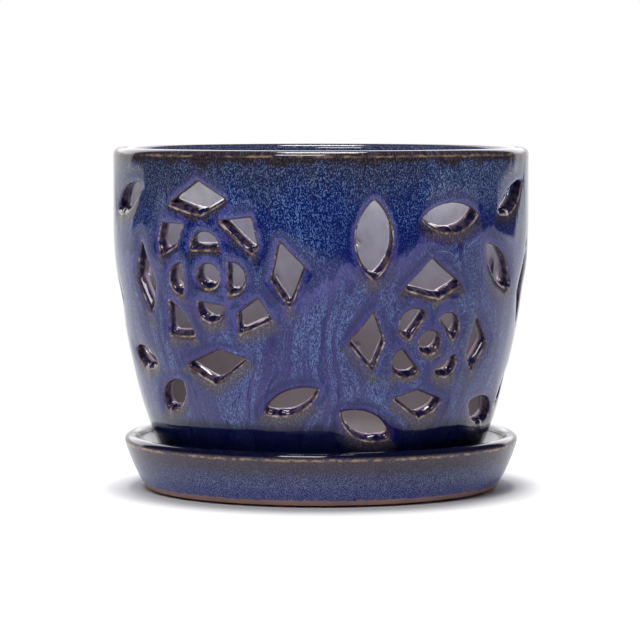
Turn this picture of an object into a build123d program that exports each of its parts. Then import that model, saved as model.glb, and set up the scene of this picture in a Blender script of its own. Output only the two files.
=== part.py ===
from build123d import *
from math import cos, radians, sin, sqrt, tan
import os

# Orchid pot: a pierced stoneware pot that stands loose in its own saucer.
# Millimetres, +Z up, origin on the table under the pot's axis, -Y is the front.

# Pot
RIM_DIAMETER = 152.0
FOOT_DIAMETER = 111.0
POT_HEIGHT = 118.5
SHOULDER_HEIGHT = 93.5  # above the foot, where the curved wall turns upright
POT_WALL = 5.5
POT_FLOOR_HEIGHT = 8.0  # inside floor above the foot
POT_INNER_CORNER = 9.0  # radius between the inside floor and the wall
FOOT_RING_WIDTH = 8.0
FOOT_RECESS = 2.5  # hollow under the floor, inside the foot ring
DRAIN_DIAMETER = 16.0
FOOT_EDGE = 1.2  # radius on the edges of both foot rings

# Saucer
SAUCER_RIM_DIAMETER = 144.5
SAUCER_FOOT_DIAMETER = 128.0
SAUCER_HEIGHT = 20.0
SAUCER_WALL = 4.6
SAUCER_FLOOR_HEIGHT = 6.5  # top of the dish's floor, where the pot stands
SAUCER_PLAY = 3.5  # from the pot's foot to the side of the dish
SAUCER_INNER_CORNER = 4.5
SAUCER_BELLY = 0.8  # how far the outer wall bows out from straight
SAUCER_FOOT_RING_WIDTH = 9.0
SAUCER_RECESS = 1.5

# Slots, each cut in towards the pot's axis with the knife held low
EYE_DIAMETER = 9.3
SLOT_UNIT_LENGTH = 10.0  # one unit in the drawings of the other slots
CUT_SLOPE = 28.0  # degrees by which a slot climbs on its way in
CUT_MARGIN = 4.0  # how far a cutter runs past the wall on either side

RIM_RADIUS = RIM_DIAMETER / 2
FOOT_RADIUS = FOOT_DIAMETER / 2
SHOULDER_INSET = RIM_RADIUS - FOOT_RADIUS
WALL_CURVE = (SHOULDER_HEIGHT**2 + SHOULDER_INSET**2) / (2 * SHOULDER_INSET)


def wall_radius(height, depth=0.0):
    """Radius of the pot's wall at a height above the foot, at a depth under its outer skin."""
    below = max(0.0, SHOULDER_HEIGHT - height)
    return RIM_RADIUS - WALL_CURVE + sqrt((WALL_CURVE - depth) ** 2 - below**2)


def rounded(face, corners, radius):
    """The face with the corners at these points rounded."""
    picked = [min(face.vertices(), key=lambda v: (Vector(v) - Vector(*c)).length) for c in corners]
    return fillet(picked, radius)


def turned(outline):
    """A solid of revolution about Z from a closed outline of (radius, height) curves."""
    return revolve(Plane.XZ * outline, Axis.Z)


# Shapes of the slots, each drawn flat round its own middle, x across and y up the wall
def eye():
    return Circle(EYE_DIAMETER / 2)


def moon(chord, depth, facing):
    """A half-moon whose round side faces this way, in degrees from across to up."""
    chord, depth = chord * SLOT_UNIT_LENGTH, depth * SLOT_UNIT_LENGTH
    left, right = (-chord / 2, -depth / 2), (chord / 2, -depth / 2)
    face = make_face([ThreePointArc(left, (0, depth / 2), right), Line(right, left)])
    return Rot(0, 0, facing - 90) * face


def kite(*corners):
    """A petal with straight sides between its corners."""
    return make_face(Polyline(*[Vector(*corner) * SLOT_UNIT_LENGTH for corner in corners], close=True))


def leaf(length, width, lean):
    """Two bows that meet in a tip at each end, leaning by this many degrees."""
    length, width = length * SLOT_UNIT_LENGTH, width * SLOT_UNIT_LENGTH
    left, right = (-length / 2, 0), (length / 2, 0)
    bows = [ThreePointArc(left, (0, width / 2), right), ThreePointArc(right, (0, -width / 2), left)]
    return Rot(0, 0, lean) * make_face(bows)


# The pattern. A slot's place is its turn round the pot in degrees, to the right seen from
# outside, and its rise in percent of the pot's height. In a flower both count from its eye.
def tall_flower():
    return [
        (0.0, 0.0, eye()),
        (-0.9, 10.5, moon(1.2, 0.66, 90)),
        (-0.1, -10.8, moon(1.1, 0.7, 262)),
        (-11.2, -1.1, moon(1.15, 0.69, 180)),
        (8.7, -0.4, moon(1.2, 0.66, 0)),
        (-12.8, 10.5, kite((-0.45, 0.6), (0.65, 0.55), (0.3, -0.2), (-0.5, -0.6), (-0.65, -0.1))),
        (9.3, 12.2, kite((-0.75, 0.5), (0.5, 0.65), (0.75, -0.4), (0.55, -0.65))),
        (-11.3, -12.9, kite((-0.55, 0.7), (0.25, 0.15), (0.63, -0.65), (-0.63, -0.7))),
        (13.5, -11.5, kite((0.15, 0.7), (0.63, -0.1), (-0.6, -0.7), (-0.63, 0.1))),
        (-3.7, 23.0, kite((-1.3, -0.3), (0.1, 0.6), (1.3, -0.1), (0.25, -0.6))),
        (-0.5, -27.0, kite((-1.37, -0.05), (0.2, 0.7), (1.37, 0.3), (-0.05, -0.7))),
        (-25.5, -1.4, kite((-0.05, 1.4), (0.64, -0.2), (0.2, -1.4), (-0.64, -0.05))),
        (23.1, 1.0, kite((-0.3, 1.2), (0.6, 0.25), (0.05, -1.2), (-0.6, -0.2))),
    ]


def low_flower():
    return [
        (0.0, 0.0, eye()),
        (-7.0, 6.6, moon(1.15, 0.75, 145)),
        (7.1, 5.5, moon(1.1, 0.65, 40)),
        (-8.2, -6.7, moon(1.2, 0.75, 218)),
        (7.6, -8.0, moon(1.05, 0.6, 305)),
        (-0.1, 19.1, kite((-1.22, -0.4), (-0.13, 0.75), (1.22, -0.3), (0.2, -0.75))),
        (-1.6, -18.5, kite((-1.04, 0.25), (-0.08, 0.6), (1.04, 0.1), (0.7, -0.35), (0.1, -0.6))),
        (-19.7, 0.7, kite((0.23, 1.15), (0.64, 0.0), (0.25, -1.15), (-0.64, 0.0))),
        (19.4, -1.4, kite((-0.27, 1.1), (0.58, 0.05), (-0.15, -1.1), (-0.58, -0.3))),
    ]


FLOWERS = [
    (-31.9, 62.7, tall_flower),
    (32.6, 43.0, low_flower),
    (106.0, 57.7, tall_flower),
    (176.5, 48.5, low_flower),
    (256.0, 55.0, low_flower),
]


def leaves():
    """Loose leaves between the flowers, from the front round to the right."""
    return [
        (14.2, 73.7, leaf(2.85, 1.35, 90)),
        (14.1, 18.5, leaf(2.2, 1.1, -32)),
        (37.4, 79.8, leaf(2.55, 1.07, 3)),
        (58.6, 64.5, leaf(2.6, 0.95, -42)),
        (64.8, 85.0, leaf(2.6, 0.85, 25)),
        (63.1, 20.6, leaf(2.3, 1.15, -20)),
        (83.0, 25.9, leaf(1.9, 1.05, 40)),
        (122.0, 25.8, leaf(2.25, 0.95, 27)),
        (153.3, 74.0, leaf(2.85, 1.35, 90)),
        (157.5, 19.5, leaf(2.2, 1.1, -32)),
        (181.8, 79.8, leaf(2.55, 1.07, 3)),
        (197.0, 73.0, leaf(2.4, 0.9, 80)),
        (207.5, 20.6, leaf(2.3, 1.15, -20)),
        (229.5, 18.5, leaf(2.2, 1.1, -32)),
        (236.0, 85.7, leaf(2.4, 0.9, 20)),
        (258.0, 22.4, leaf(2.2, 1.1, -25)),
        (293.5, 84.8, leaf(2.7, 0.9, 22)),
        (294.2, 36.7, leaf(2.0, 0.9, -12)),
        (307.8, 25.9, leaf(1.9, 1.05, 40)),
        (350.9, 25.8, leaf(2.25, 0.95, 27)),
    ]


def slots():
    """Every slot as (turn, rise, flat shape)."""
    for turn, rise, flower in FLOWERS:
        for across, up, shape in flower():
            yield turn + across, rise + up, shape
    yield from leaves()


def cutter(turn, rise, shape):
    """The flat shape stood on the wall and run through it, towards the axis and up along the knife."""
    height = POT_HEIGHT * rise / 100
    outward = Vector(sin(radians(turn)), -cos(radians(turn)), 0)
    across = Vector(cos(radians(turn)), sin(radians(turn)), 0)
    slope = radians(CUT_SLOPE)
    knife = Vector(0, 0, sin(slope)) - outward * cos(slope)
    reach = max(abs(shape.bounding_box().min.Y), shape.bounding_box().max.Y)
    widest = max(abs(shape.bounding_box().min.X), shape.bounding_box().max.X)
    high, low = height + reach, height - reach
    outer = wall_radius(high) + CUT_MARGIN
    inner = sqrt(wall_radius(low, POT_WALL) ** 2 - widest**2) - CUT_MARGIN
    start = SAUCER_FLOOR_HEIGHT + height - (outer - wall_radius(height)) * tan(slope)
    face = Plane(outward * outer + Vector(0, 0, start), across, outward) * shape
    return extrude(face, (outer - inner) / cos(slope), dir=knife)


def pot():
    """The pierced pot, its foot on the floor of the saucer."""
    base = SAUCER_FLOOR_HEIGHT
    top = base + POT_HEIGHT
    shoulder = base + SHOULDER_HEIGHT
    lip = top - POT_WALL / 2
    inside = base + POT_FLOOR_HEIGHT
    ring = FOOT_RADIUS - FOOT_RING_WIDTH
    drain = DRAIN_DIAMETER / 2
    under = base + FOOT_RECESS
    foot_edge = (FOOT_RADIUS, base)
    floor_edge = (wall_radius(POT_FLOOR_HEIGHT, POT_WALL), inside)
    outer_wall = TangentArc((RIM_RADIUS, shoulder), foot_edge, tangent=(0, -1))
    inner_wall = TangentArc((RIM_RADIUS - POT_WALL, shoulder), floor_edge, tangent=(0, -1))
    rim = [
        Line((RIM_RADIUS, shoulder), (RIM_RADIUS, lip)),
        ThreePointArc((RIM_RADIUS, lip), (RIM_RADIUS - POT_WALL / 2, top), (RIM_RADIUS - POT_WALL, lip)),
        Line((RIM_RADIUS - POT_WALL, lip), (RIM_RADIUS - POT_WALL, shoulder)),
    ]
    floor = Polyline(floor_edge, (drain, inside), (drain, under), (ring - FOOT_RECESS, under), (ring, base), foot_edge)
    section = make_face([outer_wall, *rim, inner_wall, *floor.edges()])
    section = rounded(section, [(*floor_edge, 0)], POT_INNER_CORNER)
    section = rounded(section, [(*foot_edge, 0), (ring, base, 0)], FOOT_EDGE)
    return turned(section) - [cutter(*slot) for slot in slots()]


def saucer():
    """The dish that the pot stands in, with a plain ring foot."""
    rim = SAUCER_RIM_DIAMETER / 2
    foot = SAUCER_FOOT_DIAMETER / 2
    lip = SAUCER_HEIGHT - SAUCER_WALL / 2
    ring = foot - SAUCER_FOOT_RING_WIDTH
    dish = FOOT_RADIUS + SAUCER_PLAY
    foot_edge, floor_edge = (foot, 0), (dish, SAUCER_FLOOR_HEIGHT)
    wall = SagittaArc(foot_edge, (rim, lip), -SAUCER_BELLY)
    roll = ThreePointArc((rim, lip), (rim - SAUCER_WALL / 2, SAUCER_HEIGHT), (rim - SAUCER_WALL, lip))
    inside = Polyline((rim - SAUCER_WALL, lip), floor_edge, (0, SAUCER_FLOOR_HEIGHT), (0, SAUCER_RECESS),
                      (ring - SAUCER_RECESS, SAUCER_RECESS), (ring, 0), foot_edge)
    section = make_face([wall, roll, *inside.edges()])
    section = rounded(section, [(*floor_edge, 0)], SAUCER_INNER_CORNER)
    section = rounded(section, [(*foot_edge, 0), (ring, 0, 0)], FOOT_EDGE)
    return turned(section)


os.makedirs("parts", exist_ok=True)
for name, piece in {"pot": pot(), "saucer": saucer()}.items():
    export_step(piece, f"parts/{name}.step")
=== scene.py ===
from math import cos, pi, radians, sin

import bmesh
import bpy
import numpy as np
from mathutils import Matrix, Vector, kdtree, noise


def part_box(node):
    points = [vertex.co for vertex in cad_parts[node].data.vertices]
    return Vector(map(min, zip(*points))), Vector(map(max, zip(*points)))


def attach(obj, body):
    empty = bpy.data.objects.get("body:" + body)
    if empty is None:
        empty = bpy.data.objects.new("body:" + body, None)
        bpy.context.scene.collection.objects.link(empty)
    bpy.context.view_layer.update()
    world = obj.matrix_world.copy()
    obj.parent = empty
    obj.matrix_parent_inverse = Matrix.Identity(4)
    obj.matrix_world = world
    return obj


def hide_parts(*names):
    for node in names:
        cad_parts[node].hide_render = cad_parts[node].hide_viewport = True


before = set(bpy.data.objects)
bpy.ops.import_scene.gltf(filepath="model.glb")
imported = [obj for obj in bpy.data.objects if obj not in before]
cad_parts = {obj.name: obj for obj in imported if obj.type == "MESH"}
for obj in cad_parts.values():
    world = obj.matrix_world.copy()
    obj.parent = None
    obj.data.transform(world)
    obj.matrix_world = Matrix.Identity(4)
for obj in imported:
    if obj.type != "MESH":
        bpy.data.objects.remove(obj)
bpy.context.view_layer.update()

# Orchid pot in a reactive blue glaze: a pierced pot on its saucer, dressed over the CAD frame, in metres.
# The front is -Y. A turn is counted in degrees from the front to the right.

MM = 0.001

# Wall of the pot, as the CAD turns it
RIM_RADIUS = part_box("pot")[1].x
RIM_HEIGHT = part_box("pot")[1].z
POT_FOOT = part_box("pot")[0].z
SHOULDER = POT_FOOT + 93.5 * MM
WALL_CURVE = 223.5 * MM
WALL = 5.5 * MM
LIP_ROLL = WALL / 2

# How the slots' edges are found in the CAD's mesh
SLOTS_FROM = POT_FOOT + 10 * MM
SLOTS_TO = RIM_HEIGHT - 6 * MM
SKIN_SLACK = 0.15 * MM
CREASE = 0.6
EDGE_STEP = 0.5 * MM

# Softening of the cut clay under the glaze
GRID = 0.65 * MM
SOFT_ROUNDS = 4
POT_TRIANGLES = 188000
EDGE_DIP = 0.5 * MM
EDGE_REACH = 2.7 * MM
CUT_GLAZE = 0.45 * MM
CUT_REACH = (4.5 * MM, 3.2 * MM)
WOBBLE = 0.2 * MM
WHEEL_MARKS = 17 * MM
FINE_MARKS = 7 * MM
POOL_SWELL = 1.1 * MM
POOL_REACH = 2.0 * MM

# Lower edge of the thick cobalt dip, as (turn, height in mm), and the step in the glaze below it
DIP_EDGE = [(-180, 84), (-164, 77), (-148, 88), (-133, 75), (-118, 86), (-100, 78), (-75, 88),
            (-52, 88), (-40, 74), (-30, 67), (-19, 67), (-9, 72), (-3, 77), (3, 81), (8, 87),
            (16, 90), (22, 89), (30, 96), (40, 100), (57, 94), (90, 84),
            (106, 90), (122, 77), (138, 88), (152, 76), (167, 89), (180, 84)]
DIP_STEP = 0.6 * MM
DIP_TAPER = 12.0

# Radius in mm of the even cylinder that the glaze's patterns are drawn on
EVEN_RADIUS = 70

# Saucer
SAUCER_STEP = 1.4 * MM
SAUCER_TURNS = 240
SAUCER_MOST_CUTS = 24
SAUCER_UNDERCUT = 0.8 * MM
SAUCER_RING = 60 * MM

# Studio: the table, the light that the room sends, the lamps' aim and the camera
TABLE_RADIUS = 0.4
TABLE_PLACE = (0, -0.22, -0.05 * MM)
TABLE_GREY = (0.75, 0.75, 0.75, 1)
WHITE = (1, 1, 1, 1)
ROOM_FRONT = (0.07, 0.07, 0.08, 1)
ROOM_GROUND = (0.75, 0.75, 0.75, 1)
ROOM_BACK = (2.7, 2.65, 2.75, 1)
LAMP_AIM = (0, 0, 0.06)
CAMERA_PLACE = (-0.37 * MM, -1.222, 0.1473)
CAMERA_TILT = 4.023
CAMERA_LENS = 187.46
CAMERA_SENSOR = 36


def colour(red, green, blue):
    """A colour as a screen shows it, 0 to 255, as the light that it sends."""
    channels = [c / 255 for c in (red, green, blue)]
    return [c / 12.92 if c <= 0.04045 else ((c + 0.055) / 1.055) ** 2.4 for c in channels] + [1.0]


def ease(low, high, value):
    """0 at low, 1 at high, and a smooth way between."""
    share = np.clip((value - low) / (high - low), 0, 1)
    return share * share * (3 - 2 * share)


def wall_radius(height, depth=0.0):
    """Radius of the pot's wall at a height, at a depth under its outer skin."""
    below = np.clip(SHOULDER - height, 0, None)
    return RIM_RADIUS - WALL_CURVE + np.sqrt((WALL_CURVE - depth) ** 2 - below**2)


def places(mesh):
    found = np.empty(len(mesh.vertices) * 3)
    mesh.vertices.foreach_get("co", found)
    return found.reshape(-1, 3)


def outward(mesh):
    found = np.empty(len(mesh.vertices) * 3)
    mesh.vertex_normals.foreach_get("vector", found)
    return found.reshape(-1, 3)


def put_back(mesh, points):
    mesh.vertices.foreach_set("co", points.ravel())
    mesh.update()


def keep(mesh, name, values):
    """Stores one number or place per vertex for the glaze to read."""
    kind, field = ("FLOAT", "value") if values.ndim == 1 else ("FLOAT_VECTOR", "vector")
    mesh.attributes.new(name, kind, "POINT").data.foreach_set(field, values.astype(np.float32).ravel())


def rough_noise(points, size):
    """Soft noise between -1 and 1 with features of about this size."""
    return np.array([noise.noise(Vector(p) / size) for p in points])


def new_piece(name, mesh):
    piece = bpy.data.objects.new(name, mesh)
    bpy.context.collection.objects.link(piece)
    return piece


def merged_copy(node):
    clay = bmesh.new()
    clay.from_mesh(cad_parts[node].data)
    bmesh.ops.remove_doubles(clay, verts=clay.verts, dist=2e-6)
    return clay


# Slots of the pot
def slot_outlines(depth):
    """The edge of every slot on the skin at this depth of the wall, as lists of points."""
    clay = merged_copy("pot")

    def on_skin(vert):
        away = abs(vert.co.xy.length - wall_radius(vert.co.z, depth))
        return SLOTS_FROM < vert.co.z < SLOTS_TO and away < SKIN_SLACK

    found = [e for e in clay.edges if e.calc_face_angle(0) > CREASE and all(on_skin(v) for v in e.verts)]
    # A dict keeps the mesh's order, so that each outline starts at the same point in every run
    sharp = dict.fromkeys(found)
    outlines = []
    while sharp:
        edge = sharp.popitem()[0]
        vert = edge.verts[1]
        outline = [edge.verts[0].co.copy(), vert.co.copy()]
        while onward := next((e for e in vert.link_edges if e in sharp), None):
            del sharp[onward]
            vert = onward.other_vert(vert)
            outline.append(vert.co.copy())
        outlines.append(outline)
    clay.free()
    return outlines


def along(outline, step):
    """Points along an outline, no more than a step apart."""
    for start, end in zip(outline, outline[1:]):
        count = max(1, int((end - start).length / step))
        for i in range(count):
            yield start.lerp(end, i / count)


def nearest_edge(points, outlines):
    """For each point, the way from the nearest place on a slot's edge."""
    spots = [spot for outline in outlines for spot in along(outline, EDGE_STEP)]
    tree = kdtree.KDTree(len(spots))
    for i, spot in enumerate(spots):
        tree.insert(spot, i)
    tree.balance()
    return np.array([point - np.array(tree.find(point)[0]) for point in points])


# Pot
def applied(piece):
    """The piece with its modifiers worked into its mesh."""
    mesh = bpy.data.meshes.new_from_object(piece.evaluated_get(bpy.context.evaluated_depsgraph_get()))
    piece.modifiers.clear()
    piece.data = mesh
    return mesh


def softened_pot():
    """The CAD pot on an even grid, its cut edges softened as sponging and glaze soften them."""
    pot = new_piece("pierced_pot", bpy.data.meshes.new("pierced_pot"))
    clay = merged_copy("pot")
    clay.to_mesh(pot.data)
    clay.free()
    grid = pot.modifiers.new("even_grid", "REMESH")
    grid.mode = "VOXEL"
    grid.voxel_size = GRID
    soft = pot.modifiers.new("soft_edges", "SMOOTH")
    soft.factor = 0.5
    soft.iterations = SOFT_ROUNDS
    mesh = applied(pot)
    fewer = pot.modifiers.new("fewer_faces", "DECIMATE")
    fewer.ratio = POT_TRIANGLES / sum(len(p.vertices) - 2 for p in mesh.polygons)
    mesh = applied(pot)
    mesh.shade_smooth()
    return pot


def trued(points, outer_gap, inner_gap):
    """The points with the wall's skins and the lip back on their true curves, away from the slots."""
    radius = np.hypot(points[:, 0], points[:, 1])
    height = points[:, 2]
    wanted = radius.copy()
    wall = ease(POT_FOOT + 3 * MM, POT_FOOT + 6 * MM, height) * (height < RIM_HEIGHT - LIP_ROLL)
    for depth, gap in ((0.0, outer_gap), (WALL, inner_gap)):
        skin = wall_radius(height, depth)
        close = (np.abs(radius - skin) < 0.7 * MM) & ((depth == 0) | (height > POT_FOOT + 22 * MM))
        share = wall * close * ease(1.2 * MM, 3 * MM, gap)
        wanted += share * (skin - radius)
    lip_radius = RIM_RADIUS - LIP_ROLL
    lip_height = RIM_HEIGHT - LIP_ROLL
    across, up = wanted - lip_radius, height - lip_height
    roll = np.where(up >= 0, LIP_ROLL / np.maximum(np.hypot(across, up), 1e-6), 1)
    wanted = np.where(up >= 0, lip_radius + across * roll, wanted)
    height = np.where(up >= 0, lip_height + up * roll, height)
    turned = points * (wanted / np.maximum(radius, 1e-6))[:, None]
    turned[:, 2] = height
    return turned


def dip_edge(turn):
    """Height of the cobalt dip's lower edge at a turn."""
    turns, heights = zip(*DIP_EDGE)
    steps = np.interp(turn, turns, range(len(turns)))
    share = ease(0, 1, steps % 1)
    return np.interp(np.floor(steps) + share, range(len(turns)), heights) * MM


def flow(turn, height, outlines):
    """The turn of each point's stream, as glaze runs down the wall and parts round the slots."""
    stream = turn.copy()
    for outline in outlines:
        middle = sum(outline, Vector()) / len(outline)
        reach = middle.xy.length
        across = ((turn - np.arctan2(middle.x, -middle.y) + pi) % (2 * pi) - pi) * reach
        up = height - middle.z
        wide = max(abs(spot.xy.angle_signed(middle.xy)) for spot in outline) * reach
        high = max(abs(spot.z - middle.z) for spot in outline)
        size = wide * high
        stream -= size * across / np.maximum(across**2 + up**2, 1.15 * size) / reach
    return stream


def make_pot():
    pot = softened_pot()
    mesh = pot.data
    outer_edges = slot_outlines(0.0)
    points = places(mesh)
    outer = nearest_edge(points, outer_edges)
    inner = nearest_edge(points, slot_outlines(WALL))
    outer_gap = np.linalg.norm(outer, axis=1)
    inner_gap = np.linalg.norm(inner, axis=1)
    points = trued(points, outer_gap, inner_gap)
    radius = np.hypot(points[:, 0], points[:, 1])
    height = points[:, 2]
    turn = np.arctan2(points[:, 0], -points[:, 1])
    depth = np.clip(wall_radius(height) - radius, 0, WALL)
    skin = ease(0.6, 0.15, depth / WALL) * (height < RIM_HEIGHT - LIP_ROLL)
    dip = (height - dip_edge(np.degrees(turn))) / MM

    # Wheel marks, the step below the thick dip, and the fall of the skin towards the slots
    streak = points * np.array([1, 1, 0.35])
    bulge = WOBBLE * rough_noise(streak, WHEEL_MARKS) + 0.4 * WOBBLE * rough_noise(streak, FINE_MARKS)
    thinner = DIP_STEP * ease(0, -DIP_TAPER, dip) * ease(30 * MM, 50 * MM, height)
    fall = EDGE_DIP * np.exp(-((outer_gap / EDGE_REACH) ** 2))
    way = points / np.maximum(radius, 1e-6)[:, None] * np.array([1, 1, 0])
    moved = points + way * (skin * (bulge - thinner - fall))[:, None]

    # Glaze on the walls of the cuts, gathered at the lowest corner of each slot
    share = depth / WALL
    near_cut = ease(*CUT_REACH, np.minimum(outer_gap, inner_gap))
    coat = ease(0.0, 0.2, share) * ease(1.0, 0.85, share) * near_cut
    moved += outward(mesh) * (CUT_GLAZE * coat)[:, None]
    pool = np.zeros(len(points))
    for outline in outer_edges:
        low = min(outline, key=lambda spot: spot.z)
        heart = np.array(low) * np.array([0.976, 0.976, 1]) + np.array([0, 0, 1.0 * MM])
        pool = np.maximum(pool, np.exp(-((np.linalg.norm(points - heart, axis=1) / POOL_REACH) ** 2)))
    moved += outward(mesh) * (POOL_SWELL * pool)[:, None]
    beyond = np.maximum(np.hypot(moved[:, 0], moved[:, 1]) / RIM_RADIUS, 1)
    moved[:, :2] /= beyond[:, None]
    put_back(mesh, moved)

    # What the glaze reads
    stream = flow(turn, height, outer_edges)
    around = [EVEN_RADIUS * np.sin(stream), -EVEN_RADIUS * np.cos(stream), height / MM]
    keep(mesh, "stream", np.stack(around, axis=1))
    keep(mesh, "slot_edge", (outer_gap - 2 * depth) / MM)
    keep(mesh, "slot_below", -outer[:, 2] / np.maximum(outer_gap, 1e-6))
    keep(mesh, "depth", depth / WALL)
    keep(mesh, "pool", pool)
    keep(mesh, "dip", dip)
    return pot


# Saucer
def make_saucer():
    """Half a section of the CAD saucer, divided finely and turned again on the wheel."""
    clay = merged_copy("saucer")
    aside = 0.31
    to_right, to_back = Vector((cos(aside), sin(aside), 0)), Vector((-sin(aside), cos(aside), 0))
    for way, both in ((to_right, False), (to_back, True)):
        everything = clay.verts[:] + clay.edges[:] + clay.faces[:]
        bmesh.ops.bisect_plane(clay, geom=everything, dist=1e-7, plane_co=(0, 0, 0), plane_no=way,
                               clear_inner=True, clear_outer=both)
    for cuts in range(SAUCER_MOST_CUTS, 0, -1):
        long = [e for e in clay.edges if cuts * SAUCER_STEP < e.calc_length()]
        bmesh.ops.subdivide_edges(clay, edges=long, cuts=cuts)
    bmesh.ops.spin(clay, geom=clay.verts[:] + clay.edges[:], cent=(0, 0, 0), axis=(0, 0, 1), angle=2 * pi,
                   steps=SAUCER_TURNS, use_merge=True)
    bmesh.ops.remove_doubles(clay, verts=clay.verts, dist=1e-6)
    bmesh.ops.recalc_face_normals(clay, faces=clay.faces)
    for vert in clay.verts:
        if vert.co.xy.length > SAUCER_RING and vert.co.z < SAUCER_UNDERCUT:
            vert.co.z = SAUCER_UNDERCUT
    mesh = bpy.data.meshes.new("drip_saucer")
    clay.to_mesh(mesh)
    clay.free()
    mesh.shade_smooth()
    return new_piece("drip_saucer", mesh)


# Glaze and clay
def feed(tree, socket, value):
    if isinstance(value, bpy.types.NodeSocket):
        tree.links.new(value, socket)
    else:
        socket.default_value = value


def add(tree, kind, **values):
    """A node with its named settings and inputs; an input's name has _ for each space."""
    new = tree.nodes.new("ShaderNode" + kind)
    for name, value in values.items():
        if hasattr(new, name):
            setattr(new, name, value)
        else:
            feed(tree, new.inputs[name.replace("_", " ")], value)
    return new


def sum_up(tree, operation, first, second=0.0, third=0.0):
    new = tree.nodes.new("ShaderNodeMath")
    new.operation = operation
    for socket, value in zip(new.inputs, (first, second, third)):
        feed(tree, socket, value)
    return new.outputs[0]


def between(tree, value, low, high):
    """0 at low, 1 at high, and a smooth way between."""
    new = add(tree, "MapRange", interpolation_type="SMOOTHSTEP", Value=value, From_Min=low, From_Max=high)
    return new.outputs[0]


def over(tree, share, under, upper):
    """The upper colour laid over the under one, as far as the share says."""
    new = tree.nodes.new("ShaderNodeMix")
    new.data_type = "RGBA"
    feed(tree, new.inputs[0], share)
    feed(tree, new.inputs[6], under)
    feed(tree, new.inputs[7], upper)
    return new.outputs[2]


def stored(tree, name):
    return add(tree, "Attribute", attribute_name=name).outputs["Fac"]


def group(name, inputs, outputs):
    """An empty shader group with these inputs, as (name, kind, value), and outputs, as (name, kind)."""
    tree = bpy.data.node_groups.new(name, "ShaderNodeTree")
    for socket, kind, value in inputs:
        given = tree.interface.new_socket(socket, in_out="INPUT", socket_type="NodeSocket" + kind)
        given.default_value = value
    for socket, kind in outputs:
        tree.interface.new_socket(socket, in_out="OUTPUT", socket_type="NodeSocket" + kind)
    return tree, tree.nodes.new("NodeGroupInput").outputs, tree.nodes.new("NodeGroupOutput").inputs


def place_group(tree, shared, **values):
    new = tree.nodes.new("ShaderNodeGroup")
    new.node_tree = shared
    for name, value in values.items():
        feed(tree, new.inputs[name], value)
    return new.outputs


def object_place(tree):
    """X, Y, Z and the distance from the axis, in millimetres."""
    place = add(tree, "TexCoord").outputs["Object"]
    scaled = add(tree, "VectorMath", operation="SCALE")
    feed(tree, scaled.inputs[0], place)
    scaled.inputs["Scale"].default_value = 1 / MM
    split = add(tree, "SeparateXYZ", Vector=scaled.outputs[0]).outputs
    square = sum_up(tree, "MULTIPLY_ADD", split[1], split[1], sum_up(tree, "MULTIPLY", split[0], split[0]))
    return split[0], split[1], split[2], sum_up(tree, "SQRT", sum_up(tree, "MAXIMUM", square, 0.01))


def round_place(tree, x, y, section, radius):
    """The place drawn out to one even cylinder, so that a pattern keeps its size all along the section."""
    even_x = sum_up(tree, "MULTIPLY", sum_up(tree, "DIVIDE", x, radius), EVEN_RADIUS)
    even_y = sum_up(tree, "MULTIPLY", sum_up(tree, "DIVIDE", y, radius), EVEN_RADIUS)
    return add(tree, "CombineXYZ", X=even_x, Y=even_y, Z=section).outputs[0]


def streak_group():
    """Light specks that the glaze let run, drawn round the axis so that no seam shows."""
    tree, given, out = group("run_specks", [("Place", "Vector", (0, 0, 0)), ("Width", "Float", 1.0),
                                            ("Length", "Float", 3.0), ("Share", "Float", 0.5),
                                            ("Softness", "Float", 0.1)], [("Specks", "Float")])
    size = add(tree, "CombineXYZ", X=given["Width"], Y=given["Width"], Z=given["Length"]).outputs[0]
    drawn = add(tree, "VectorMath", operation="DIVIDE")
    feed(tree, drawn.inputs[0], given["Place"])
    feed(tree, drawn.inputs[1], size)
    grain = add(tree, "TexNoise", Vector=drawn.outputs[0], Scale=1.0, Detail=3.0, Roughness=0.55)
    level = sum_up(tree, "SUBTRACT", grain.outputs["Fac"], sum_up(tree, "SUBTRACT", 1.0, given["Share"]))
    feed(tree, out["Specks"], between(tree, level, 0.0, given["Softness"]))
    return tree


def clay_group():
    """Bare fired clay: its colour, and the grain that the bump reads."""
    tree, given, out = group("bare_clay", [("Clay", "Color", (0, 0, 0, 1))],
                             [("Color", "Color"), ("Grain", "Float")])
    x, y, z = object_place(tree)[:3]
    place = add(tree, "CombineXYZ", X=x, Y=y, Z=z).outputs[0]
    cloud = add(tree, "TexNoise", Vector=place, Scale=0.12, Detail=4.0).outputs["Fac"]
    grain = add(tree, "TexNoise", Vector=place, Scale=2.2, Detail=3.0, Roughness=0.7).outputs["Fac"]
    fleck = between(tree, grain, 0.62, 0.7)
    shade = sum_up(tree, "MULTIPLY", between(tree, cloud, 0.3, 0.75), 0.3)
    dull = over(tree, shade, given["Clay"], colour(92, 80, 78))
    feed(tree, out["Color"], over(tree, sum_up(tree, "MULTIPLY", fleck, 0.25), dull, colour(80, 68, 64)))
    feed(tree, out["Grain"], grain)
    return tree


def glaze_material(name):
    """A new material and its shader, glossy as fired glaze."""
    material = bpy.data.materials.new(name)
    material.use_nodes = True
    shader = material.node_tree.nodes["Principled BSDF"]
    shader.inputs["IOR"].default_value = 1.5
    return material, material.node_tree, shader


def join_glaze(tree, shader, body, raw, grain, cloud, roughness):
    """Joins colour, gloss and relief to the shader. Where the clay is raw, it is dull and grainy."""
    feed(tree, shader.inputs["Base Color"], body)
    feed(tree, shader.inputs["Roughness"], sum_up(tree, "MULTIPLY_ADD", raw, 0.7, roughness))
    height = sum_up(tree, "ADD", sum_up(tree, "MULTIPLY", grain, raw), sum_up(tree, "MULTIPLY", cloud, 0.5))
    bump = add(tree, "Bump", Strength=0.25, Distance=0.2 * MM, Height=height)
    feed(tree, shader.inputs["Normal"], bump.outputs[0])


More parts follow.
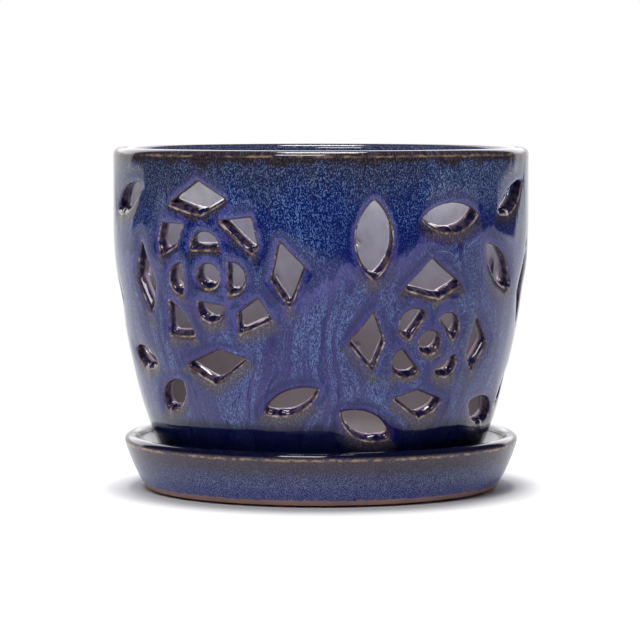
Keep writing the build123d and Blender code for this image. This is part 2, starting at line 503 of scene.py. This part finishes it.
def pot_glaze(specks, clay):
    material, tree, shader = glaze_material("reactive_blue_glaze")
    x, y, z, radius = object_place(tree)
    from_top = sum_up(tree, "SUBTRACT", RIM_HEIGHT / MM, z)
    edge, below, depth = stored(tree, "slot_edge"), stored(tree, "slot_below"), stored(tree, "depth")
    pool, dip = stored(tree, "pool"), stored(tree, "dip")
    stream = add(tree, "Attribute", attribute_name="stream").outputs["Vector"]
    place = add(tree, "CombineXYZ", X=x, Y=y, Z=z).outputs[0]
    cloud = add(tree, "TexNoise", Vector=place, Scale=0.09, Detail=3.0).outputs["Fac"]
    ragged = add(tree, "TexNoise", Vector=place, Scale=0.45, Detail=3.0).outputs["Fac"]

    # Thick cobalt dip above, smoky under the lip and frosted on the right
    wall_place = round_place(tree, x, y, sum_up(tree, "MULTIPLY_ADD", depth, -WALL / MM, z), radius)
    turn = sum_up(tree, "DEGREES", sum_up(tree, "ARCTAN2", x, sum_up(tree, "MULTIPLY", y, -1.0)))
    fine = place_group(tree, specks, Place=wall_place, Width=0.36, Length=0.66, Share=0.49, Softness=0.1)[0]
    drips = place_group(tree, specks, Place=stream, Width=5.0, Length=30.0, Share=1.0, Softness=1.0)[0]
    patch = between(tree, cloud, 0.35, 0.68)
    even = sum_up(tree, "MULTIPLY_ADD", between(tree, from_top, 40.0, 8.0), 0.25, 0.35)
    light = sum_up(tree, "MULTIPLY", fine, sum_up(tree, "MULTIPLY_ADD", patch, 0.3, even))
    cobalt = over(tree, light, colour(6, 26, 104), colour(122, 162, 220))
    smoke = sum_up(tree, "MULTIPLY_ADD", drips, -20.0, from_top)
    smoke = sum_up(tree, "MULTIPLY_ADD", between(tree, turn, -12.0, -45.0), -7.0, smoke)
    smoke = sum_up(tree, "MULTIPLY", between(tree, smoke, 12.0, -6.0), 0.8)
    cobalt = over(tree, smoke, cobalt, over(tree, fine, colour(44, 48, 74), colour(112, 124, 148)))
    frosted = sum_up(tree, "MULTIPLY", between(tree, turn, 28.0, 32.0), between(tree, turn, 85.0, 60.0))
    frosted = sum_up(tree, "MULTIPLY", frosted, between(tree, from_top, 27.0, 17.0))
    frost = over(tree, fine, colour(46, 60, 112), colour(144, 164, 204))
    cobalt = over(tree, sum_up(tree, "MULTIPLY", frosted, 0.7), cobalt, frost)

    # Thinner glaze below: specks and light streaks that flow round the slots, between smooth violet runs
    streaks = place_group(tree, specks, Place=stream, Width=0.38, Length=1.3, Share=0.5, Softness=0.14)[0]
    runs = place_group(tree, specks, Place=stream, Width=6.0, Length=50.0, Share=0.58, Softness=0.12)[0]
    thinner = over(tree, runs, colour(42, 33, 110), colour(22, 31, 106))
    low = sum_up(tree, "MULTIPLY", between(tree, z, 56.0, 32.0), 0.25)
    thinner = over(tree, low, thinner, colour(108, 102, 158))
    clusters = sum_up(tree, "MULTIPLY_ADD", between(tree, cloud, 0.42, 0.6), 0.6, 0.35)
    clustered = sum_up(tree, "MULTIPLY", streaks, clusters)
    dots = sum_up(tree, "MAXIMUM", sum_up(tree, "MULTIPLY", fine, 0.65), clustered)
    light = sum_up(tree, "MULTIPLY", sum_up(tree, "MULTIPLY_ADD", runs, 0.75, 0.25), dots)
    thinner = over(tree, light, thinner, colour(124, 150, 214))
    thick_runs = place_group(tree, specks, Place=stream, Width=4.2, Length=14.0, Share=0.4,
                             Softness=0.05)[0]
    thinner = over(tree, sum_up(tree, "MULTIPLY", thick_runs, 0.8), thinner, colour(14, 24, 104))
    level = sum_up(tree, "MULTIPLY_ADD", drips, 8.0, sum_up(tree, "SUBTRACT", dip, 4.0))
    thick = between(tree, level, -0.8, 0.8)
    deep = sum_up(tree, "MULTIPLY", between(tree, level, 15.0, 1.0), 0.85)
    depths = over(tree, sum_up(tree, "MULTIPLY", fine, 0.4), colour(8, 20, 100), colour(80, 112, 196))
    cobalt_run = over(tree, deep, cobalt, depths)
    pale = sum_up(tree, "MULTIPLY", between(tree, level, -9.0, -2.0), 0.7)
    misty = over(tree, sum_up(tree, "MULTIPLY", streaks, 0.5), colour(74, 68, 146), colour(124, 138, 208))
    thinner = over(tree, pale, thinner, misty)
    body = over(tree, thick, thinner, cobalt_run)
    # Painted shade: a dark navy band low on the wall, where the saucer keeps light off the pot's foot
    foot = between(tree, sum_up(tree, "MULTIPLY_ADD", drips, 6.0, z), 34.0, 30.0)
    body = over(tree, sum_up(tree, "MULTIPLY", foot, 0.9), body, colour(8, 16, 62))

    # A smooth rim of thick glaze round each slot, and thin olive glaze under it
    reach = sum_up(tree, "MULTIPLY_ADD", ragged, -2.0, edge)
    ring = sum_up(tree, "MULTIPLY", between(tree, reach, 3.4, 2.0), between(tree, reach, 0.6, 1.4))
    body = over(tree, sum_up(tree, "MULTIPLY", ring, 0.55), body, colour(14, 26, 104))
    beside = add(tree, "CombineXYZ", X=sum_up(tree, "MULTIPLY", x, 0.16),
                 Y=sum_up(tree, "MULTIPLY", z, 0.16), Z=sum_up(tree, "MULTIPLY", edge, 1.6)).outputs[0]
    lines = add(tree, "TexNoise", Vector=beside, Scale=1.0, Detail=3.0).outputs["Fac"]
    # Lavender halo next to each slot's edge: partly the glaze's own colour, partly a painted reflection of
    # the table where the skin dips towards the slot
    halo = sum_up(tree, "MULTIPLY", between(tree, reach, 1.5, 0.2), between(tree, lines, 0.3, 0.55))
    body = over(tree, sum_up(tree, "MULTIPLY", halo, sum_up(tree, "MULTIPLY_ADD", thick, -0.2, 0.85)), body,
                over(tree, thick, colour(60, 52, 136), colour(92, 88, 168)))
    thin = sum_up(tree, "MULTIPLY", between(tree, below, 0.35, 0.85), between(tree, reach, 5.5, 0.0))
    olive = over(tree, fine, over(tree, thick, colour(84, 73, 72), colour(48, 40, 40)),
                 over(tree, thick, colour(126, 120, 128), colour(92, 88, 90)))
    body = over(tree, sum_up(tree, "MULTIPLY", thin, 0.85), body, olive)

    # Lip: a brown-black run, and a tan line on the roll's outer side
    outside = between(tree, depth, 0.5, 0.3)
    wavy = add(tree, "TexNoise", Vector=wall_place, Scale=0.14, Detail=3.0).outputs["Fac"]
    lip = sum_up(tree, "MULTIPLY_ADD", ragged, -2.0, sum_up(tree, "MULTIPLY_ADD", wavy, -9.0, from_top))
    body = over(tree, sum_up(tree, "MULTIPLY", between(tree, lip, 0.6, -2.2), 0.9), body,
                over(tree, fine, colour(44, 34, 36), colour(80, 70, 70)))
    line = sum_up(tree, "MULTIPLY_ADD", ragged, 1.2, from_top)
    tan = sum_up(tree, "MULTIPLY", between(tree, line, 2.2, 2.5), between(tree, line, 3.3, 2.9))
    worn = add(tree, "TexNoise", Vector=place, Scale=0.3, Detail=5.0, Roughness=0.6).outputs["Fac"]
    tan = sum_up(tree, "MULTIPLY", tan, sum_up(tree, "MULTIPLY", outside, between(tree, worn, 0.3, 0.6)))
    tan = sum_up(tree, "MULTIPLY", tan, between(tree, wavy, 0.62, 0.42))
    body = over(tree, sum_up(tree, "MULTIPLY", tan, 0.9), body, colour(164, 138, 116))

    # Slots: dark glaze in the cut, paler towards the inside with painted light, a line where it breaks,
    # with a painted highlight on its lower side and painted shade on its upper side, navy where it gathers
    cut = between(tree, edge, 0.0, -0.5)
    murk = over(tree, between(tree, ragged, 0.42, 0.6), colour(30, 26, 74), colour(86, 72, 86))
    # Towards the inside the cut turns pale: partly the glaze giving way to clay, partly painted light on
    # the upward-facing lower walls
    murk = over(tree, between(tree, depth, 0.55, 0.85), murk, colour(184, 164, 178))
    body = over(tree, cut, body, murk)
    line = sum_up(tree, "MULTIPLY", between(tree, edge, 0.45, 0.15), between(tree, edge, -0.6, -0.25))
    # Painted highlight: the pale dashes on the slots' lower edges stand for glints; painted shade: the dark
    # brown on their upper edges
    bright = over(tree, between(tree, worn, 0.4, 0.66), colour(108, 84, 70), colour(214, 194, 174))
    break_with_painted_light = over(tree, between(tree, below, -0.5, 0.3), colour(72, 54, 48), bright)
    body = over(tree, sum_up(tree, "MULTIPLY", line, between(tree, ragged, 0.2, 0.5)), body, break_with_painted_light)
    body = over(tree, between(tree, pool, 0.35, 0.65), body, colour(14, 16, 64))

    # Bare clay inside, below a glazed band under the lip: painted shade makes it browner and darker towards
    # the floor, and painted light makes it near-white high on the wall
    raw = over(tree, between(tree, z, 42.0, 114.0), colour(114, 104, 108), colour(216, 215, 236))
    raw = over(tree, between(tree, z, 94.0, 106.0), raw, colour(250, 249, 255))
    bare = place_group(tree, clay, Clay=raw)
    band_end = sum_up(tree, "MULTIPLY_ADD", ragged, 3.0, 11.0)
    inside = sum_up(tree, "MULTIPLY", between(tree, depth, 0.88, 0.96),
                    between(tree, sum_up(tree, "SUBTRACT", from_top, band_end), -0.6, 0.6))
    banded = sum_up(tree, "MULTIPLY", between(tree, depth, 0.55, 0.75), between(tree, from_top, 0.5, 1.1))
    banded = sum_up(tree, "MULTIPLY", banded, between(tree, from_top, 20.0, 16.0))
    body = over(tree, banded, body, cobalt)
    body = over(tree, inside, body, bare["Color"])

    join_glaze(tree, shader, body, inside, bare["Grain"], cloud, 0.07)
    return material


def saucer_glaze(specks, clay):
    material, tree, shader = glaze_material("slate_blue_glaze")
    x, y, z, radius = object_place(tree)
    place = add(tree, "CombineXYZ", X=x, Y=y, Z=z).outputs[0]
    ragged = add(tree, "TexNoise", Vector=place, Scale=0.35, Detail=3.0).outputs["Fac"]
    cloud = add(tree, "TexNoise", Vector=place, Scale=0.06, Detail=2.0).outputs["Fac"]
    wall_place = round_place(tree, x, y, sum_up(tree, "ADD", z, radius), radius)
    fine = place_group(tree, specks, Place=wall_place, Width=0.3, Length=0.48, Share=0.54, Softness=0.16)[0]
    level = sum_up(tree, "MULTIPLY_ADD", ragged, 3.0, z)
    slate = over(tree, between(tree, z, 9.0, 3.0), colour(44, 50, 106), colour(34, 44, 132))
    body = over(tree, sum_up(tree, "MULTIPLY", fine, 0.8), slate, colour(156, 170, 212))
    olive = over(tree, sum_up(tree, "MULTIPLY", fine, 0.4), colour(74, 60, 64), colour(116, 112, 128))
    body = over(tree, sum_up(tree, "MULTIPLY", between(tree, level, 9.5, 17.0), 0.9), body, olive)
    line = sum_up(tree, "MULTIPLY_ADD", ragged, 1.4, z)
    tan = sum_up(tree, "MULTIPLY", between(tree, line, 17.5, 17.8), between(tree, line, 18.6, 18.3))
    worn = add(tree, "TexNoise", Vector=place, Scale=0.3, Detail=5.0, Roughness=0.6).outputs["Fac"]
    tan = sum_up(tree, "MULTIPLY", tan, between(tree, worn, 0.4, 0.6))
    body = over(tree, tan, body, colour(176, 146, 118))
    upper = between(tree, z, 18.0, 18.6)
    under_wall = sum_up(tree, "SUBTRACT", sum_up(tree, "MULTIPLY_ADD", z, 0.466, 64.0), radius)
    dish = between(tree, under_wall, 1.2, 2.4)
    glossy = sum_up(tree, "MULTIPLY", between(tree, z, 4.5, 5.5), sum_up(tree, "MAXIMUM", upper, dish))
    body = over(tree, glossy, body, over(tree, fine, colour(6, 7, 34), colour(16, 20, 62)))
    bare = place_group(tree, clay, Clay=colour(188, 148, 140))
    foot = between(tree, sum_up(tree, "MULTIPLY_ADD", ragged, 1.2, z), 3.4, 3.0)
    body = over(tree, foot, body, bare["Color"])
    join_glaze(tree, shader, body, foot, bare["Grain"], cloud, 0.08)
    return material


# Studio
def make_floor():
    """A white table top. Seen by the camera it is a little brighter, so that only the shadow shows."""
    mesh = bpy.data.meshes.new("table")
    disc = bmesh.new()
    bmesh.ops.create_circle(disc, cap_ends=True, segments=128, radius=TABLE_RADIUS)
    bmesh.ops.translate(disc, verts=disc.verts, vec=TABLE_PLACE)
    disc.to_mesh(mesh)
    disc.free()
    table = new_piece("table", mesh)
    material = bpy.data.materials.new("white_table")
    material.use_nodes = True
    tree = material.node_tree
    shader = tree.nodes["Principled BSDF"]
    shader.inputs["Base Color"].default_value = TABLE_GREY
    shader.inputs["Roughness"].default_value = 0.9
    shader.inputs["Emission Color"].default_value = WHITE
    seen = add(tree, "LightPath").outputs["Is Camera Ray"]
    clear = between(tree, object_place(tree)[3], 68.0, 90.0)
    far = between(tree, object_place(tree)[3], 100.0, 300.0)
    glow = sum_up(tree, "MULTIPLY_ADD", clear, 0.45, sum_up(tree, "MULTIPLY", far, 0.55))
    feed(tree, shader.inputs["Emission Strength"], sum_up(tree, "MULTIPLY", seen, glow))
    mesh.materials.append(material)


def make_world():
    """A room that is bright behind the object and dim in front. The camera sees plain white all round,
    and reflections see the same white in the backdrop behind the object."""
    world = bpy.data.worlds.new("studio")
    world.use_nodes = True
    tree = world.node_tree
    tree.nodes.clear()
    way = add(tree, "SeparateXYZ", Vector=add(tree, "TexCoord").outputs["Generated"]).outputs
    behind = sum_up(tree, "MULTIPLY_ADD", between(tree, way[0], -0.3, 0.3), -0.1, way[1])
    behind = between(tree, behind, 0.58, 0.7)
    lower = sum_up(tree, "MULTIPLY_ADD", between(tree, way[1], 0.2, -0.2), 0.08, way[2])
    below = between(tree, lower, -0.05, -0.09)
    room = over(tree, below, ROOM_FRONT, ROOM_GROUND)
    room = over(tree, behind, room, ROOM_BACK)
    rays = add(tree, "LightPath").outputs
    mirrored = sum_up(tree, "MAXIMUM", rays["Is Glossy Ray"], rays["Is Transmission Ray"])
    sweep = sum_up(tree, "MULTIPLY", below, between(tree, way[1], 0.0, 0.5))
    backdrop = sum_up(tree, "MAXIMUM", behind, sweep)
    backdrop = sum_up(tree, "MULTIPLY", backdrop, between(tree, way[2], 0.25, 0.1))
    white = sum_up(tree, "MAXIMUM", rays["Is Camera Ray"], sum_up(tree, "MULTIPLY", mirrored, backdrop))
    shown = over(tree, white, room, WHITE)
    background = add(tree, "Background", Color=shown)
    feed(tree, add(tree, "OutputWorld").inputs["Surface"], background.outputs[0])
    bpy.context.scene.world = world


def make_lamp(name, place, aim, width, height, watts):
    data = bpy.data.lights.new(name, "AREA")
    data.shape = "RECTANGLE"
    data.size, data.size_y = width, height
    data.energy = watts
    lamp = bpy.data.objects.new(name, data)
    bpy.context.collection.objects.link(lamp)
    lamp.location = place
    lamp.rotation_euler = (Vector(aim) - Vector(place)).to_track_quat("-Z", "Y").to_euler()


def make_camera():
    data = bpy.data.cameras.new("camera")
    data.lens = CAMERA_LENS
    data.sensor_width = CAMERA_SENSOR
    camera = bpy.data.objects.new("camera", data)
    bpy.context.collection.objects.link(camera)
    camera.location = CAMERA_PLACE
    camera.rotation_euler = (radians(90 - CAMERA_TILT), 0, 0)
    bpy.context.scene.camera = camera


specks = streak_group()
clay = clay_group()
pot = make_pot()
pot.data.materials.append(pot_glaze(specks, clay))
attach(pot, "pot")
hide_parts("pot")

saucer = make_saucer()
saucer.data.materials.append(saucer_glaze(specks, clay))
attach(saucer, "saucer")
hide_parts("saucer")

make_floor()
make_world()
make_lamp("top_softbox", (0, 0.05, 1.4), LAMP_AIM, 0.5, 0.4, 14)
make_lamp("front_softbox", (-0.25, -1.0, 1.25), LAMP_AIM, 0.6, 0.45, 10.3)
make_camera()
bpy.context.scene.view_settings.view_transform = "Standard"
